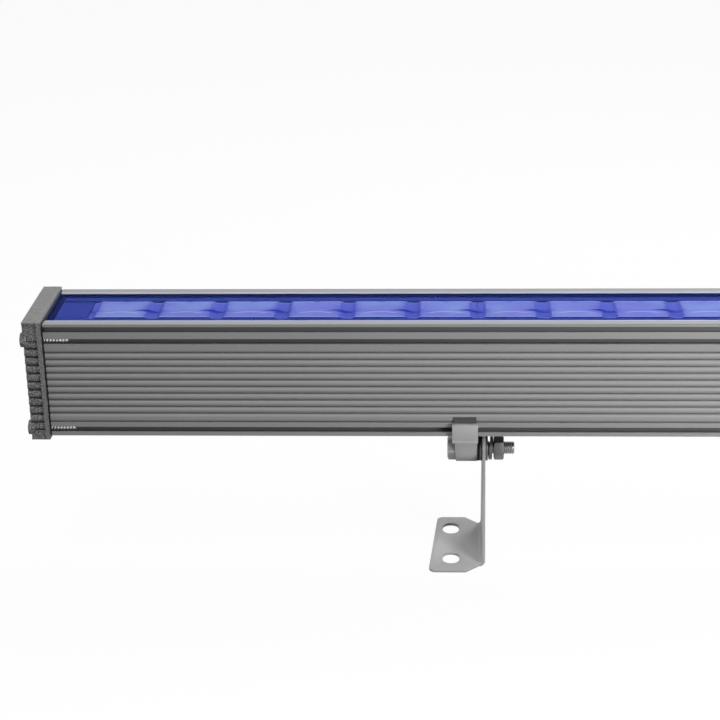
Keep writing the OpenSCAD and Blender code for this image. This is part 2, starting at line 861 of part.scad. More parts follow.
module cap_screws() {
    seat = left_x - boss_proud + cap_sink_d;
    turns = floor((cap_screw_l - thread_pitch) / thread_pitch);
    plain = cap_head_h + cap_screw_l - turns * thread_pitch;
    socket_d = cap_head_h * socket_depth_share;
    at_screws(seat - cap_head_h)
        difference() {
            union() {
                bar_x(cap_head_r, cap_head_h);
                bar_x(cap_screw_r, plain);
                translate([plain, 0, 0])
                    rotate([0, 90, 0])
                        rotate_extrude()
                            polygon(concat(
                                [[0, 0]],
                                [for (i = [0 : turns - 1])
                                    for (p = [
                                        [cap_screw_r, 0],
                                        [cap_screw_r, thread_crest_share],
                                        [cap_screw_r - thread_d, (1 + thread_crest_share) / 2]
                                    ])
                                        [p[0], (i + p[1]) * thread_pitch]],
                                [[cap_screw_r - thread_d, turns * thread_pitch], [0, turns * thread_pitch]]
                            ));
            }
            translate([-cut, 0, 0])
                rotate([0, 90, 0])
                    cylinder(r = cap_head_r * socket_share, h = socket_d + cut, $fn = 6);
        }
}

module left_cap_screws() {
    color([0.2, 0.2, 0.21])
        cap_screws();
}

module right_cap_screws() {
    color([0.2, 0.2, 0.21])
        mirrored_over()
            cap_screws();
}

// Cable gland in the right cap
right_x = left_x + light_l;
gland_z = body_z + gland_up;
gland_wall = cap_t - pocket_d;
gland_hex_x = right_x + gland_washer_t;
gland_neck_r_share = 0.96;
gland_neck_r = gland_r * gland_neck_r_share;
gland_bore_share = 0.68;
gland_bore_r = gland_r * gland_bore_share;
gland_neck_share = 0.6;
gland_neck_l = dome_l * gland_neck_share;
locknut_t = 3.5;
locknut_extra = 3;
gland_tail = 0.5;

module gland_body() {
    inside_x = right_x - gland_wall - locknut_t - gland_tail;
    neck_end = gland_hex_x + gland_hex_t + dome_gap + gland_neck_l;
    color([0.1, 0.1, 0.11])
        translate([0, 0, gland_z])
            difference() {
                union() {
                    translate([inside_x, 0, 0])
                        bar_x(gland_r, gland_hex_x - inside_x);
                    translate([gland_hex_x, 0, 0])
                        hex_x(gland_flats, gland_hex_t, 0);
                    translate([gland_hex_x + gland_hex_t, 0, 0])
                        bar_x(gland_neck_r, dome_gap + gland_neck_l);
                }
                translate([inside_x - cut, 0, 0])
                    bar_x(gland_bore_r, neck_end - inside_x + 2 * cut);
            }
}

module gland_washer() {
    color([0.04, 0.04, 0.04])
        translate([right_x, 0, gland_z])
            difference() {
                bar_x(gland_flats / 2, gland_washer_t);
                translate([-cut, 0, 0])
                    bar_x(gland_r + thread_gap, gland_washer_t + 2 * cut);
            }
}

module gland_locknut() {
    color([0.12, 0.12, 0.13])
        translate([right_x - gland_wall - locknut_t, 0, gland_z])
            difference() {
                hex_x(gland_flats + locknut_extra, locknut_t, 0);
                translate([-cut, 0, 0])
                    bar_x(gland_r + thread_gap, locknut_t + 2 * cut);
            }
}

// Rubber insert that grips the cable, reaching to the dome nut's mouth
module gland_seal() {
    start = gland_hex_x;
    length = gland_hex_t + dome_gap + gland_neck_l;
    color([0.04, 0.04, 0.04])
        translate([start, 0, gland_z])
            difference() {
                bar_x(gland_bore_r - thread_gap, length);
                translate([-cut, 0, 0])
                    bar_x(cable_r, length + 2 * cut);
            }
}

// Dome nut: a hexagon for the spanner, then a dome with the cable's mouth
dome_hex_share = 0.55;
dome_end_share = 0.72;
mouth_gap = 1;

module gland_dome_nut() {
    start = gland_hex_x + gland_hex_t + dome_gap;
    hex_l = dome_l * dome_hex_share;
    dome_r = gland_flats / 2;
    color([0.1, 0.1, 0.11])
        translate([start, 0, gland_z])
            difference() {
                union() {
                    hex_x(gland_flats, hex_l, 0);
                    translate([hex_l, 0, 0])
                        rotate([0, 90, 0])
                            cylinder(r1 = dome_r, r2 = dome_r * dome_end_share, h = dome_l - hex_l);
                }
                translate([-cut, 0, 0])
                    bar_x(gland_neck_r + thread_gap, gland_neck_l + cut);
                bar_x(cable_r + mouth_gap, dome_l + cut);
            }
}

// Clamp: jaws that hook into the lower screw channels, a base under the housing, and an eye for the bolt
seam_h = 0.5;
seam_d = 0.3;
seam_down = 0.7;
hook_clear = 0.3;

module left_clamp() {
    under = body_z - clamp_gap;
    base_low = under - base_t;
    hook_low = body_z + rail_h + hook_clear;
    hook_high = body_z + rail_h + channel_mouth - hook_clear;
    hook_tip = half_w - hook_in;
    seam_high = under - seam_down;
    half_section = [
        [jaw_out, base_low], [jaw_out, seam_high - seam_h], [jaw_out - seam_d, seam_high - seam_h],
        [jaw_out - seam_d, seam_high], [jaw_out, seam_high], [jaw_out, body_z + jaw_h],
        [jaw_in, body_z + jaw_h], [jaw_in, hook_high], [hook_tip, hook_high],
        [hook_tip, hook_low], [jaw_in, hook_low], [jaw_in, under]
    ];
    last = len(half_section) - 1;
    color([0.66, 0.66, 0.67])
        difference() {
            union() {
                translate([clamp_x, 0, 0])
                    along_x(clamp_l)
                        polygon(concat(
                            half_section,
                            [for (i = [last : -1 : 0]) [-half_section[i][0], half_section[i][1]]]
                        ));
                // the eye, its outer side leaning in towards the bottom
                intersection() {
                    translate([eye_x, 0, 0]) {
                        block([0, -eye_r, axis_h], [clamp_end - eye_x, 2 * eye_r, under - axis_h]);
                        translate([0, 0, axis_h])
                            bar_x(eye_r, clamp_end - eye_x);
                    }
                    translate([0, eye_r, 0])
                        rotate([90, 0, 0])
                            linear_extrude(2 * eye_r)
                                polygon([
                                    [eye_x + eye_draft, axis_h - eye_r], [clamp_end, axis_h - eye_r],
                                    [clamp_end, under], [eye_x, under]
                                ]);
                }
            }
            translate([eye_x - cut, 0, axis_h])
                bar_x(bolt_r + bolt_clear, clamp_end - eye_x + 2 * cut);
            // the flat seat for the bolt's head
            translate([eye_x - cut, 0, axis_h])
                bar_x(bolt_flats / 2 / cos(30) + head_gap, head_x - eye_x + cut);
        }
}

// Rubber pads between the jaws and the ribs, showing above the jaws
pad_in = 1;

module left_clamp_pads() {
    pad_low = lower_channel_v + channel_mouth / 2 + hook_clear;
    color([0.06, 0.06, 0.06])
        for (side = [-1, 1])
            block([clamp_x + pad_in, side * (jaw_in - pad_t / 2) - pad_t / 2, body_z + pad_low],
                [clamp_l - 2 * pad_in, pad_t, jaw_h + pad_over - pad_low]);
}

module left_bolt() {
    chamfer_share = 0.2;
    chamfer = bolt_r * chamfer_share;
    color([0.6, 0.6, 0.6])
        translate([head_x, 0, axis_h]) {
            translate([-bolt_head_h, 0, 0])
                hex_x(bolt_flats, bolt_head_h, head_turn);
            translate([-bolt_head_h / 2, 0, 0])
                bar_x(bolt_r, bolt_head_h / 2 + bolt_l - chamfer);
            translate([bolt_l - chamfer, 0, 0])
                rotate([0, 90, 0])
                    cylinder(r1 = bolt_r, r2 = bolt_r - chamfer, h = chamfer);
        }
}

// A flat ring along X that fits over the bolt
module ring_x(x, r, t) {
    translate([x, 0, axis_h])
        difference() {
            bar_x(r, t);
            translate([-cut, 0, 0])
                bar_x(bolt_r + bolt_clear, t + 2 * cut);
        }
}

module left_friction_washer() {
    color([0.05, 0.05, 0.05])
        ring_x(clamp_end, washer_r, friction_t);
}

module left_inner_washer() {
    color([0.6, 0.6, 0.6])
        ring_x(inner_washer_x, washer_r, washer_t);
}

module left_outer_washer() {
    color([0.66, 0.66, 0.66])
        ring_x(leg_end, washer_r, washer_t);
}

// Split spring washer: one turn of square steel that climbs along the bolt, cut on the far side
spring_steps = 40;
spring_split = 8;
spring_inner_gap = 0.25;

module left_spring_washer() {
    inner = bolt_r + spring_inner_gap;
    rise = spring_h - spring_t;
    points = [
        for (i = [0 : spring_steps])
            let (share = i / spring_steps, turn = spring_split / 2 + share * (360 - spring_split))
            for (corner = [[inner, 0], [spring_r, 0], [spring_r, spring_t], [inner, spring_t]])
                [share * rise + corner[1], corner[0] * cos(turn), -corner[0] * sin(turn)]
    ];
    faces = concat(
        [[0, 1, 2, 3]],
        [for (i = [0 : spring_steps - 1])
            for (k = [0 : 3])
                [4 * i + (k + 1) % 4, 4 * i + k, 4 * i + 4 + k, 4 * i + 4 + (k + 1) % 4]],
        [[for (k = [3 : -1 : 0]) 4 * spring_steps + k]]
    );
    color([0.55, 0.55, 0.55])
        translate([spring_x, 0, axis_h])
            polyhedron(points, faces);
}

module left_nut() {
    color([0.6, 0.6, 0.6])
        translate([nut_x, 0, axis_h])
            difference() {
                hex_x(bolt_flats, nut_h, nut_turn);
                translate([-cut, 0, 0])
                    bar_x(bolt_r + thread_gap, nut_h + 2 * cut);
            }
}

// The foot's flat outline from above: u from the leg's inner face out towards the tip, w across
module foot_outline(start) {
    wide = foot_w / 2;
    narrow = bend_w / 2;
    near_tip = foot_l + foot_t + tip_skew / 2;
    far_tip = foot_l + foot_t - tip_skew / 2;
    cut_end = start + corner_cut;
    polygon([
        [start, -narrow], [cut_end, -wide], [near_tip - tip_r, -wide],
        [near_tip, -wide + tip_r], [far_tip, wide - tip_r],
        [far_tip - tip_r, wide], [cut_end, wide], [start, narrow]
    ]);
    translate([near_tip - tip_r, -wide + tip_r])
        circle(r = tip_r);
    translate([far_tip - tip_r, wide - tip_r])
        circle(r = tip_r);
}

// A slot with round ends across the foot
module slot_outline() {
    straight = slot_l - slot_w;
    square([slot_w, straight], center = true);
    for (side = [-1, 1])
        translate([0, side * straight / 2])
            circle(r = slot_w / 2);
}

// The leg's outline across Y and Z: wide at the bend, round at the bolt
module leg_outline(low) {
    narrow = bend_w / 2;
    difference() {
        union() {
            polygon([[-narrow, low], [narrow, low], [leg_r, axis_h], [-leg_r, axis_h]]);
            translate([0, axis_h])
                circle(r = leg_r);
        }
        translate([0, axis_h])
            circle(r = bolt_r + bolt_clear);
    }
}

// Foot bent from one sheet: flat sole, round bend and upright leg
module left_foot() {
    outer_r = bend_r + foot_t;
    color([0.62, 0.62, 0.63]) {
        translate([leg_end, 0, 0])
            mirror([1, 0, 0])
                linear_extrude(foot_t)
                    difference() {
                        foot_outline(outer_r);
                        for (side = [-1, 1])
                            translate([slot_in + foot_t, side * slot_gap / 2])
                                slot_outline();
                    }
        intersection() {
            translate([leg_end - outer_r, bend_w / 2, outer_r])
                rotate([90, 0, 0])
                    difference() {
                        cylinder(r = outer_r, h = bend_w);
                        translate([0, 0, -cut])
                            cylinder(r = bend_r, h = bend_w + 2 * cut);
                    }
            block([leg_end - outer_r, -bend_w / 2, 0], [outer_r, bend_w, outer_r]);
        }
        translate([leg_x, 0, 0])
            along_x(foot_t)
                leg_outline(outer_r);
    }
}

module right_clamp() turned_over() left_clamp();
module right_clamp_pads() turned_over() left_clamp_pads();
module right_bolt() turned_over() left_bolt();
module right_friction_washer() turned_over() left_friction_washer();
module right_inner_washer() turned_over() left_inner_washer();
module right_outer_washer() turned_over() left_outer_washer();
module right_spring_washer() turned_over() left_spring_washer();
module right_nut() turned_over() left_nut();
module right_foot() turned_over() left_foot();

housing();
glass();
glass_seal();
lens_strips();
lens_carrier();
lamp_board();
lamps();
board_screws();
driver_board();
transformer_core();
transformer_winding();
driver_capacitors();
driver_choke();
terminal_block();
output_leads();
insulating_sheet();
left_cap();
right_cap();
left_gasket();
right_gasket();
left_cap_screws();
right_cap_screws();
gland_body();
gland_washer();
gland_locknut();
gland_seal();
gland_dome_nut();
left_clamp();
left_clamp_pads();
left_bolt();
left_friction_washer();
left_inner_washer();
left_outer_washer();
left_spring_washer();
left_nut();
left_foot();
right_clamp();
right_clamp_pads();
right_bolt();
right_friction_washer();
right_inner_washer();
right_outer_washer();
right_spring_washer();
right_nut();
right_foot();
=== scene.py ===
import math

import bmesh
import bpy
from mathutils import Color, Matrix, Vector


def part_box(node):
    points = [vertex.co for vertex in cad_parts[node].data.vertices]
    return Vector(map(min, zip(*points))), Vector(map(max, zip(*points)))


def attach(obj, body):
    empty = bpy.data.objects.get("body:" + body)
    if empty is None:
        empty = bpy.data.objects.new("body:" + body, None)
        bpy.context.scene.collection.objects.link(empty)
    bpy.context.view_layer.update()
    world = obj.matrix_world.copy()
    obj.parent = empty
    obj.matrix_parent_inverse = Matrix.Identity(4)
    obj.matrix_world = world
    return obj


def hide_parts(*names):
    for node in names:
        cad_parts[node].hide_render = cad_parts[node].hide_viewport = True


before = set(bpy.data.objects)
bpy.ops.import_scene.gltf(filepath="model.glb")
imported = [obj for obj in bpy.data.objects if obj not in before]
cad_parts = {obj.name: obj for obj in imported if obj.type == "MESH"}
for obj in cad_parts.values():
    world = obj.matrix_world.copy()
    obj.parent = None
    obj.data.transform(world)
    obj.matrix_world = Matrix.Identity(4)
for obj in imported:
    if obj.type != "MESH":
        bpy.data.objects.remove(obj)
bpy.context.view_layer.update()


# Camera. A long lens looks down at the light from the front, set by fitting the cap's corners, the
# rails, the lens row and the foot. A small turn takes the place of a larger shift.
def placed(name, data):
    """A new object, put into the scene."""
    thing = bpy.data.objects.new(name, data)
    bpy.context.scene.collection.objects.link(thing)
    return thing


camera_place = Vector((-0.26161, -0.97121, 0.52005))
turn_left = math.radians(2.734)
look_down = math.radians(22.094)
camera_roll = math.radians(-1.016)
camera_data = bpy.data.cameras.new("camera")
camera_data.sensor_width = 36
camera_data.lens = 87.297
camera_data.shift_x = -0.015
camera = placed("camera", camera_data)
camera.matrix_world = (
    Matrix.Translation(camera_place)
    @ Matrix.Rotation(turn_left, 4, "Z")
    @ Matrix.Rotation(math.pi / 2 - look_down, 4, "X")
    @ Matrix.Rotation(camera_roll, 4, "Z")
)
bpy.context.scene.camera = camera
bpy.context.scene.view_settings.view_transform = "Standard"


# Stage. A plain pale floor under a pale room: white to the eye and in reflections, softer as a light,
# and the floor keeps a faint shadow of the feet.
class Wire:
    """A socket of a shader. Sums and products of such wires put in the Math nodes for them."""

    def __init__(self, tree, socket=None):
        self.tree = tree
        self.socket = socket

    def node(self, kind, settings=None, inputs=None, out=0):
        """Puts in a node: its settings first, then values or wires for its sockets. Gives one output."""
        made = self.tree.nodes.new("ShaderNode" + kind)
        for name, value in (settings or {}).items():
            setattr(made, name, value)
        for name, value in (inputs or {}).items():
            if isinstance(value, Wire):
                self.tree.links.new(value.socket, made.inputs[name])
            else:
                made.inputs[name].default_value = value
        return Wire(self.tree, made.outputs[out] if len(made.outputs) else None)

    def maths(self, operation, *values):
        return self.node("Math", {"operation": operation}, dict(enumerate(values)))

    def __add__(self, other):
        return self.maths("ADD", self, other)

    def __sub__(self, other):
        return self.maths("SUBTRACT", self, other)

    def __rsub__(self, other):
        return self.maths("SUBTRACT", other, self)

    def __mul__(self, other):
        return self.maths("MULTIPLY", self, other)

    def __truediv__(self, other):
        return self.maths("DIVIDE", self, other)

    def __rtruediv__(self, other):
        return self.maths("DIVIDE", other, self)

    def __abs__(self):
        return self.maths("ABSOLUTE", self)

    __radd__ = __add__
    __rmul__ = __mul__

    def ease(self, low, high):
        """0 under low, 1 over high, smooth between; the other way round where low is over high."""
        return self.node(
            "MapRange",
            {"interpolation_type": "SMOOTHSTEP"},
            {"Value": self, "From Min": low, "From Max": high},
        )


def tint(red, green, blue):
    """A colour as a screen shows it, from 0 to 255, in the linear shares that sockets take."""
    shown = Color((red / 255, green / 255, blue / 255))
    return (*shown.from_srgb_to_scene_linear(), 1)


def mix(share, colour_a, colour_b):
    """The first colour where share is 0, the second where it is 1."""
    # The Mix node's sockets for colours share their names with others, so they go by number.
    factor, first, second, result = 0, 6, 7, 2
    sockets = {factor: share, first: colour_a, second: colour_b}
    return share.node("Mix", {"data_type": "RGBA"}, sockets, out=result)


def open_material(name):
    """A material without nodes, and a bare wire that starts them."""
    material = bpy.data.materials.new(name)
    material.use_nodes = True
    material.node_tree.nodes.clear()
    return material, Wire(material.node_tree)


def seen(start):
    """1 for the eye, in reflections and through glass; 0 for light that falls on the object."""
    eye, mirrored, through, bounces = (
        start.node("LightPath", out=out)
        for out in ("Is Camera Ray", "Is Glossy Ray", "Is Transmission Ray", "Diffuse Depth")
    )
    unscattered = 1 - bounces.maths("MINIMUM", bounces, 1.0)
    return eye.maths("MAXIMUM", eye, mirrored.maths("MAXIMUM", mirrored, through) * unscattered)


white = (1, 1, 1, 1)
floor_half = 12
floor_shadow = 0.05
floor_corners = [
    (across * floor_half, back * floor_half, 0) for across, back in ((-1, -1), (1, -1), (1, 1), (-1, 1))
]
floor_mesh = bpy.data.meshes.new("floor")
floor_mesh.from_pydata(floor_corners, [], [(0, 1, 2, 3)])
floor = placed("floor", floor_mesh)
floor_paint, start = open_material("floor_paint")
floor_grain = start.node("TexNoise", None, {"Scale": 40.0, "Detail": 3.0})
floor_shade = mix(floor_grain, tint(252, 252, 252), tint(255, 255, 255))
floor_seen = seen(start)
floor_matt = start.node("BsdfDiffuse", None, {"Color": mix(floor_seen, tint(100, 100, 100), floor_shade)})
floor_white = start.node("Emission", None, {"Color": white, "Strength": 1.0})
floor_share = floor_seen * (1 - floor_shadow)
floor_mixed = start.node("MixShader", None, {0: floor_share, 1: floor_matt, 2: floor_white})
start.node("OutputMaterial", None, {"Surface": floor_mixed})
floor_mesh.materials.append(floor_paint)

room_level = 0.12
world = bpy.data.worlds.new("room")
bpy.context.scene.world = world
world.use_nodes = True
world.node_tree.nodes.clear()
start = Wire(world.node_tree)
room_light = start.node("Background", None, {"Color": white, "Strength": room_level})
room_white = start.node("Background", None, {"Color": white, "Strength": 1.0})
room_mixed = start.node("MixShader", None, {0: seen(start), 1: room_light, 2: room_white})
start.node("OutputWorld", None, {"Surface": room_mixed})

lit_height = 0.12
for name, place, aim_along, side, power in (
    ("key_lamp", (-0.5, -0.42, 1.3), -0.25, 0.5, 5.8),
    ("low_lamp", (0.2, -0.5, 0.3), -0.1, 0.25, 3.3),
    ("back_lamp", (0.25, 0.6, 1.0), -0.15, 0.4, 6),
    ("far_lamp", (-0.35, 0.7, 1.1), -0.15, 0.5, 2),
    ("left_lamp", (-1.7, -0.25, 0.4), -0.5, 0.6, 5),
    ("right_lamp", (1.7, 0.25, 0.4), 0.5, 0.6, 5),
):
    lamp = bpy.data.lights.new(name, "AREA")
    lamp.shape = "SQUARE"
    lamp.size = side
    lamp.energy = power
    stand = placed(name, lamp)
    stand.location = place
    beam = Vector((aim_along, 0, lit_height)) - Vector(place)
    stand.rotation_euler = beam.to_track_quat("-Z", "Y").to_euler()


# Housing. One aluminium extrusion with rounded ribs, powder coated grey: a fine orange-peel skin, faint
# lines along the way it left the die, painted shade between the ribs and in the grooves and channels,
# and a darker line along the rails' edges.
MM = 0.001
housing_low, housing_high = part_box("housing")
body_half = housing_high.y
body_high = housing_high.z


def dress(material, *names):
    """Gives CAD nodes their finish in place of the plain one they came with."""
    for name in names:
        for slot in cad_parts[name].material_slots:
            slot.material = material


def where(start):
    """The place on the piece, in metres, as it stands at rest."""
    return start.node("TexCoord", out="Object")


def axes(place, letters):
    """A wire for each axis of a place that letters name."""
    return [place.node("SeparateXYZ", None, {0: place}, out=letter) for letter in letters]


def grain(place, scale, detail=2.0, stretch=None):
    """Noise at so many grains a metre, drawn out along an axis where stretch says so."""
    if stretch:
        place = place.node("VectorMath", {"operation": "MULTIPLY"}, {0: place, 1: stretch})
    return place.node("TexNoise", None, {"Vector": place, "Scale": scale, "Detail": detail})


def bumped(height, depth):
    """The normal for a surface that rises by depth metres where height goes from 0 to 1."""
    return height.node("Bump", None, {"Height": height, "Distance": depth})


def close_material(start, inputs):
    """The shader and the output, which end a material."""
    shader = start.node("BsdfPrincipled", None, inputs)
    start.node("OutputMaterial", None, {"Surface": shader})


coat, start = open_material("grey_powder_coat")
place = where(start)
y, z = axes(place, "YZ")
peel = grain(place, 900.0)
die_lines = grain(place, 1200.0, 3.0, (0.01, 1, 1))
clouds = grain(place, 14.0, 3.0)
# Painted shade: below the rails, all that lies deeper than the ribs' crowns is darkened, between the ribs and
# in the grooves and channels.
painted_valley_shade = abs(y).ease(body_half - 0.5 * MM, body_half - 2.0 * MM)
under_rails = z.ease(body_high - 0.8 * MM, body_high - 1.2 * MM)
outer_edge = abs(y).ease(body_half - 0.9 * MM, body_half - 0.4 * MM)
on_rails = z.ease(body_high - 0.3 * MM, body_high - 0.1 * MM)
shade = mix(clouds * 0.5 + die_lines * 0.5, tint(150, 150, 150), tint(160, 160, 161))
shade = mix(painted_valley_shade * under_rails * 0.75, shade, tint(78, 78, 79))
close_material(
    start,
    {
        "Base Color": mix(outer_edge * on_rails * 0.5, shade, tint(92, 92, 93)),
        "Roughness": 0.46 + peel * 0.12,
        "Specular IOR Level": 0.2,
        "Normal": bumped(peel * 0.5 + die_lines * 0.5, 0.04 * MM),
    },
)
dress(coat, "housing")


# Driver. A glass-fibre board in the housing's corner guides with its ferrite, windings, capacitors,
# choke and terminal block, two leads up to the lamp board, and an insulating sheet under it.
def mottled(name, dark, light, grains, rough, metal=0.0, depth=0.02, shine=0.5):
    """A finish whose colour, roughness and skin vary together at so many grains a metre."""
    material, start = open_material(name)
    place = where(start)
    skin = grain(place, grains, 3.0)
    blotches = grain(place, grains / 20, 3.0)
    close_material(
        start,
        {
            "Base Color": mix(skin * 0.5 + blotches * 0.5, tint(*dark), tint(*light)),
            "Roughness": rough + skin * 0.15,
            "Metallic": metal,
            "Specular IOR Level": shine,
            "Normal": bumped(skin, depth * MM),
        },
    )
    return material


dress(mottled("green_board", (22, 82, 46), (34, 104, 58), 1200.0, 0.4), "driver_board")
dress(mottled("ferrite", (44, 44, 47), (58, 58, 60), 2500.0, 0.55), "transformer_core")
dress(mottled("enamelled_wire", (168, 92, 36), (196, 118, 52), 3000.0, 0.3, metal=0.7), "transformer_winding")
dress(mottled("capacitor_sleeve", (22, 24, 58), (34, 36, 78), 1500.0, 0.3), "driver_capacitors")
dress(mottled("choke_wire", (156, 82, 34), (190, 108, 48), 2600.0, 0.3, metal=0.7), "driver_choke")
dress(mottled("terminal_moulding", (26, 116, 66), (34, 132, 78), 1200.0, 0.42), "terminal_block")
dress(mottled("lead_sleeve", (150, 22, 20), (176, 34, 30), 2000.0, 0.45), "output_leads")
dress(mottled("pressboard", (196, 186, 154), (214, 206, 178), 900.0, 0.7), "insulating_sheet")

# Lamp board. Aluminium-backed board with a white solder mask, one lamp under each lens, and pan head
# screws that hold it to the shelf.
dress(mottled("white_solder_mask", (222, 222, 216), (236, 236, 230), 900.0, 0.35), "lamp_board")
dress(mottled("lamp_dome", (214, 204, 120), (236, 228, 160), 2500.0, 0.12), "lamps")
dress(mottled("plated_screw", (150, 150, 152), (184, 184, 186), 1500.0, 0.3, metal=0.9), "board_screws")

# Lens carrier. A tray moulded in dark blue plastic that drops over the lamp board. Its rails show on
# both sides of the lenses, and its matt face gives no glare under the glass.
tray, start = open_material("dark_blue_moulding")
skin = grain(where(start), 500.0, 3.0)
close_material(
    start,
    {
        "Base Color": mix(skin, tint(26, 44, 112), tint(32, 50, 124)),
        "Roughness": 0.4 + skin * 0.2,
        "Specular IOR Level": 0.0,
        "Normal": bumped(skin, 0.02 * MM),
    },
)
dress(tray, "lens_carrier")


# Lens strips. Polycarbonate with a blue cast in four mouldings butted end to end: flat lens tops, a
# soft-edged hollow between two lenses with an oval in its middle, and a cone under each lens. A plain
# blank closes the row at each cap.
def finished(name, mesh, material, sharp):
    """The piece for a mesh: smooth, but for edges that turn by more than so many degrees."""
    mesh.polygons.foreach_set("use_smooth", [True] * len(mesh.polygons))
    mesh.set_sharp_from_angle(angle=math.radians(sharp))
    mesh.materials.append(material)
    return placed(name, mesh)


def skinned(name, shells, material, sharp):
    """A piece of closed shells, each a list of rings with the same number of points, capped at its ends."""
    points, faces = [], []
    for rings in shells:
        first = len(points)
        count = len(rings[0])
        last = first + (len(rings) - 1) * count
        for ring in rings:
            points.extend(ring)
        faces.append([first + k for k in reversed(range(count))])
        for low in range(first, last, count):
            for k in range(count):
                after = (k + 1) % count
                faces.append([low + k, low + after, low + count + after, low + count + k])
        faces.append([last + k for k in range(count)])
    mesh = bpy.data.meshes.new(name)
    mesh.from_pydata(points, [], faces)
    mesh.validate()
    shape = bmesh.new()
    shape.from_mesh(mesh)
    bmesh.ops.recalc_face_normals(shape, faces=shape.faces)
    shape.to_mesh(mesh)
    shape.free()
    return finished(name, mesh, material, sharp)


def eased(value, low, high):
    """0 under low, 1 over high, smooth between."""
    share = min(1, max(0, (value - low) / (high - low)))
    return share * share * (3 - 2 * share)


strips_low, strips_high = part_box("lens_strips")
lens_count = 24
strip_lenses = 6
strip_gap = 0.4 * MM
row_left = strips_low.x - strip_gap / 2
row_right = strips_high.x + strip_gap / 2
row_half = (row_right - row_left) / 2
lens_pitch = (row_right - row_left) / lens_count
first_lens = row_left + lens_pitch / 2
strip_half = strips_high.y
strip_under = 153.0 * MM
lens_top = strips_high.z
hollow_depth = 0.9 * MM
hollow_half = 4.6 * MM
hollow_slope = 2.4 * MM
oval_depth = 0.65 * MM
oval_long, oval_wide = 8.0 * MM, 2.9 * MM
oval_off = -1.5 * MM
oval_floor_share = 0.72
edge_width = 1.2 * MM
edge_drop = 0.35 * MM


def lens_height(along, across):
    """The strip's upper face at a distance along from the middle of a hollow and across the row."""
    hollow = 1 - eased(abs(along), hollow_half - hollow_slope, hollow_half)
    from_oval = math.hypot(along / oval_long, (across - oval_off) / oval_wide)
    oval = 1 - eased(from_oval, oval_floor_share, 1.0)
    edge = eased(abs(across), strip_half - edge_width, strip_half)
    return lens_top - hollow_depth * hollow - oval_depth * oval - edge_drop * edge


# Cuts lie close together round a hollow and wide apart on a lens.
hollow_cuts = [k / 2 * MM for k in range(-18, 19)]
lens_cuts = [k * MM for k in (11, 13.5, 16, 19.5, 23, 25.5, 28)]
cut_points = 33
strip_shells = []
for first in range(0, lens_count, strip_lenses):
    low = row_left + first * lens_pitch + strip_gap / 2
    high = row_left + (first + strip_lenses) * lens_pitch - strip_gap / 2
    cuts = {low, high}
    for gap in range(first, first + strip_lenses + 1):
        cuts.update(row_left + gap * lens_pitch + offset for offset in hollow_cuts + lens_cuts)
    rings = []
    for at in sorted(cut for cut in cuts if low <= cut <= high):
        gaps = (at - row_left) / lens_pitch
        along = (gaps - round(gaps)) * lens_pitch
        ring = [(at, -strip_half, strip_under)]
        for k in range(cut_points):
            across = strip_half * math.sin(math.pi / 2 * (2 * k / (cut_points - 1) - 1))
            ring.append((at, across, lens_height(along, across)))
        ring.append((at, strip_half, strip_under))
        rings.append(ring)
    strip_shells.append(rings)

# A cone's rings as radius and height: the pocket over its lamp, the foot, the flank and the strip.
cone_low = strips_low.z
cone_high = strip_under + 0.2 * MM
cone_foot = 4.8 * MM
cone_wide = 12.8 * MM
cone_tip = 0.02 * MM
pocket_radius = 3.2 * MM
pocket_draft = 0.1 * MM
pocket_top = cone_low + 2.5 * MM
flank_mm = ((6.6, 1.7), (8.6, 3.7), (10.6, 5.7), (12.4, 7.7))
cone_rings = [
    (cone_tip, pocket_top),
    (pocket_radius - pocket_draft, pocket_top),
    (pocket_radius, cone_low),
    (cone_foot, cone_low),
    *[(radius * MM, cone_low + rise * MM) for radius, rise in flank_mm],
    (cone_wide, cone_high),
    (cone_tip, cone_high),
]
cone_sides = 36
cone_turns = [k * math.tau / cone_sides for k in range(cone_sides)]
for k in range(lens_count):
    middle = first_lens + k * lens_pitch
    strip_shells.append(
        [
            [(middle + radius * math.cos(turn), radius * math.sin(turn), height) for turn in cone_turns]
            for radius, height in cone_rings
        ]
    )

# The plain blanks that close the row, each between a cap and the nearest lens.
blank_top = 154.4 * MM
blank_edge = 0.3 * MM
blank_inset = 0.4 * MM
blank_gap = 0.385 * MM
blank_back = 3.75 * MM
blank_outline = (
    (-strip_half, strip_under),
    (-strip_half, blank_top - blank_edge),
    (-strip_half + blank_inset, blank_top),
    (strip_half - blank_inset, blank_top),
    (strip_half, blank_top - blank_edge),
    (strip_half, strip_under),
)
for ends in (
    (housing_low.x + blank_back, row_left - blank_gap),
    (row_right + blank_gap, housing_high.x - blank_back),
):
    strip_shells.append([[(at, across, height) for across, height in blank_outline] for at in ends])

# Streaks all over, a nick on each lens and dark edges, with painted light over them: a highlight arc,
# glints and bright rims on each lens, a dash of painted shade along it, and in each hollow a band of
# painted shade, darker on its near half, with a painted shade tail and wing and a painted shadow in its oval.
lens, start = open_material("blue_lens")
place = where(start)
x, y = axes(place, "XY")
streaks = grain(place, 160.0, 3.0, (0.3, 1, 1))
blotches = grain(place, 55.0, 2.0, (0.6, 1, 1))
gaps = (x - row_left) / lens_pitch
turn = gaps.maths("FRACT", gaps)
beside_gap = (turn.maths("FRACT", turn + 0.5) - 0.5) * lens_pitch
from_gap = (0.5 - abs(turn - 0.5)) * lens_pitch
from_middle = abs(turn - 0.5) * lens_pitch
on_row = abs(x - (row_left + row_half)).ease(row_half + 1 * MM, row_half - 1 * MM)
near_side = y.ease(-0.5 * MM, -3.0 * MM)
# A painted highlight along the rims near each strip's edges.
painted_rim_highlights = abs(y).ease(strip_half - 2.6 * MM, strip_half - 2.0 * MM)
edges = abs(y).ease(strip_half - 1.6 * MM, strip_half - 1.2 * MM)
